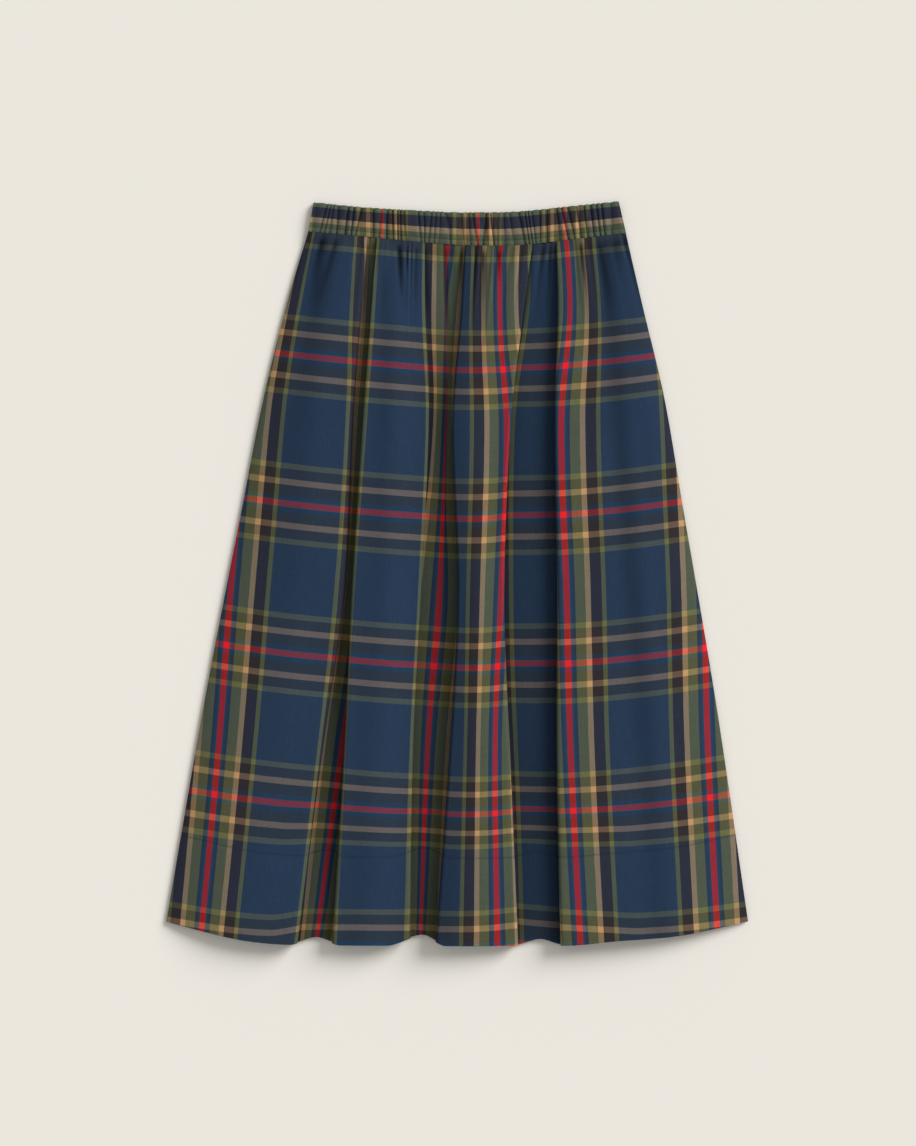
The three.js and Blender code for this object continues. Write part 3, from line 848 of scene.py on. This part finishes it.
def band_places(part, x):
    """Places in the cloth at one part of the band's height."""
    strip = smooth_curve(BAND_ALONG, x) + FIRST_WEFT_RED
    level = BAND_TOP_ACROSS + (BAND_SEAM_ACROSS - BAND_TOP_ACROSS) * part
    return np.stack([np.full_like(x, level), strip], axis=1)


def front_band():
    """The front waistband's cloth, and the grid of its outer face, from the seam up."""
    along = np.linspace(0, 1, BAND_GATHERS * POINTS_PER_GATHER + 1)
    gather = along * BAND_GATHERS
    shift = uneven(31, gather * 0.6, *TUCK_SHIFT)
    strength = uneven(34, gather * 1.3, *CREASE_STRENGTH)
    height = uneven(32, gather, *TUCK_HEIGHT)
    rows = []
    places = []
    shades = []
    for part, full, gathered in BAND_FACE:
        x, y = band_point(part, along)
        lean = uneven(33, gather * 0.9, *TUCK_LEAN) * (part - 0.5)
        # Rounded tucks with sharp creases between them
        tuck = np.abs(np.sin(math.pi * (gather + shift + lean))) ** TUCK_ROUNDNESS
        wave = gathered * (height * (2 * tuck - TUCK_LOW) + TUCK_LIFT)
        y = y - SCALLOP * (1 - tuck) * (1 - smooth_step(part, 0, SCALLOP_PART))
        rows.append(np.stack([x, y, BAND_UNDER + BAND_WALL * full + wave], axis=1))
        # Painted shade in the creases between the tucks, and along the stitch row
        crease = CREASE_SHADE * strength * gathered * (1 - tuck) ** 2
        crease = np.clip(crease, 0, DARKEST_CREASE)
        shades.append(crease + (1 - crease) * STITCH_SHADE * (part == BAND_STITCH_PART))
        places.append(band_places(part, x))
    middle = np.array(rows)[::-1]
    normal = outward(middle)
    outer = middle + normal * BAND_CLOTH / 2
    inner = middle - normal * BAND_CLOTH / 2
    places, shades = np.array(places)[::-1], np.array(shades)[::-1]
    return closed_cloth("front_band_cloth", outer, inner, places, shades), outer[::-1]


front_band_cloth, band_surface = front_band()
front_band_cloth.data.materials.append(check_cotton)
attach(front_band_cloth, "root")
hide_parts("waistband_front")

# Casing stitches
# The row that closes the elastic's casing, just above the seam.
CASING_PITCH = 2.2
CASING_LENGTH = 1.5
casing_row = band_surface[[part for part, _, _ in BAND_FACE].index(BAND_STITCH_PART)]
casing_stitches = stitch_row("casing_stitches", casing_row, CASING_PITCH, CASING_LENGTH, seed=5)
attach(casing_stitches, "root")

# Back waistband
# The back half of the casing, lying flat under the front one.
BAND_BACK_WALL = 1.9
BAND_BACK_POINTS = 97
BAND_BACK_ROWS = 9


def back_band():
    """The back waistband's cloth, one flat layer."""
    along = np.linspace(0, 1, BAND_BACK_POINTS)
    rows = []
    places = []
    for part in np.linspace(0, 1, BAND_BACK_ROWS):
        x, y = band_point(part, along)
        rows.append(np.stack([x, y, np.zeros_like(x)], axis=1))
        places.append(band_places(part, x))
    rows = np.array(rows)
    upper = rows + np.array([0, 0, BAND_BACK_WALL])
    return closed_cloth("back_band_cloth", upper, rows, np.array(places))


back_band_cloth = back_band()
back_band_cloth.data.materials.append(check_cotton)
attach(back_band_cloth, "root")
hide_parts("waistband_back")

# Floor, camera and light
# A plain pale surface, seen from straight above, with soft light from the upper right.
FLOOR_COLOUR = (0.823, 0.799, 0.745)
VIEW_HEIGHT = 1237.7 * MM
VIEW_CENTRE = (0.9 * MM, -0.3 * MM)
MIDDLE_OF_CLOTH = 8 * MM
LENS = 100
SENSOR = 36
LIGHT_COLOUR = (1, 0.99, 0.97)
SKY_STRENGTH = 0.5

floor_mesh = bpy.data.meshes.new("floor")
FLOOR_HALF = 6
FLOOR_Z = -0.3 * MM
floor_mesh.from_pydata(
    [(x * FLOOR_HALF, y * FLOOR_HALF, FLOOR_Z) for x, y in ((-1, -1), (1, -1), (1, 1), (-1, 1))],
    [],
    [(0, 1, 2, 3)],
)
floor = bpy.data.objects.new("floor", floor_mesh)
bpy.context.scene.collection.objects.link(floor)
floor_finish = bpy.data.materials.new("pale floor")
floor_finish.use_nodes = True
floor_shader = floor_finish.node_tree.nodes["Principled BSDF"]
floor_shader.inputs["Base Color"].default_value = (*FLOOR_COLOUR, 1)
floor_shader.inputs["Roughness"].default_value = 1
floor_shader.inputs["Specular IOR Level"].default_value = 0
floor_mesh.materials.append(floor_finish)

camera = bpy.data.objects.new("camera", bpy.data.cameras.new("camera"))
camera.data.lens = LENS
camera.data.sensor_width = SENSOR
camera.location = (*VIEW_CENTRE, MIDDLE_OF_CLOTH + VIEW_HEIGHT * LENS / SENSOR)
bpy.context.scene.collection.objects.link(camera)
bpy.context.scene.camera = camera


def soft_light(azimuth, elevation, spread, strength):
    """Even light from one wide patch of sky; azimuth from +X towards +Y, in degrees."""
    light = bpy.data.lights.new("key light", "SUN")
    light.angle = math.radians(spread)
    light.energy = strength
    light.color = LIGHT_COLOUR
    lamp = bpy.data.objects.new("key light", light)
    lamp.rotation_euler = (math.radians(90 - elevation), 0, math.radians(azimuth + 90))
    bpy.context.scene.collection.objects.link(lamp)


soft_light(azimuth=38, elevation=28, spread=32, strength=3.4)
world = bpy.data.worlds.new("studio")
world.use_nodes = True
sky = world.node_tree.nodes["Background"]
sky.inputs["Color"].default_value = (*LIGHT_COLOUR, 1)
sky.inputs["Strength"].default_value = SKY_STRENGTH
bpy.context.scene.world = world
bpy.context.scene.view_settings.view_transform = "Standard"
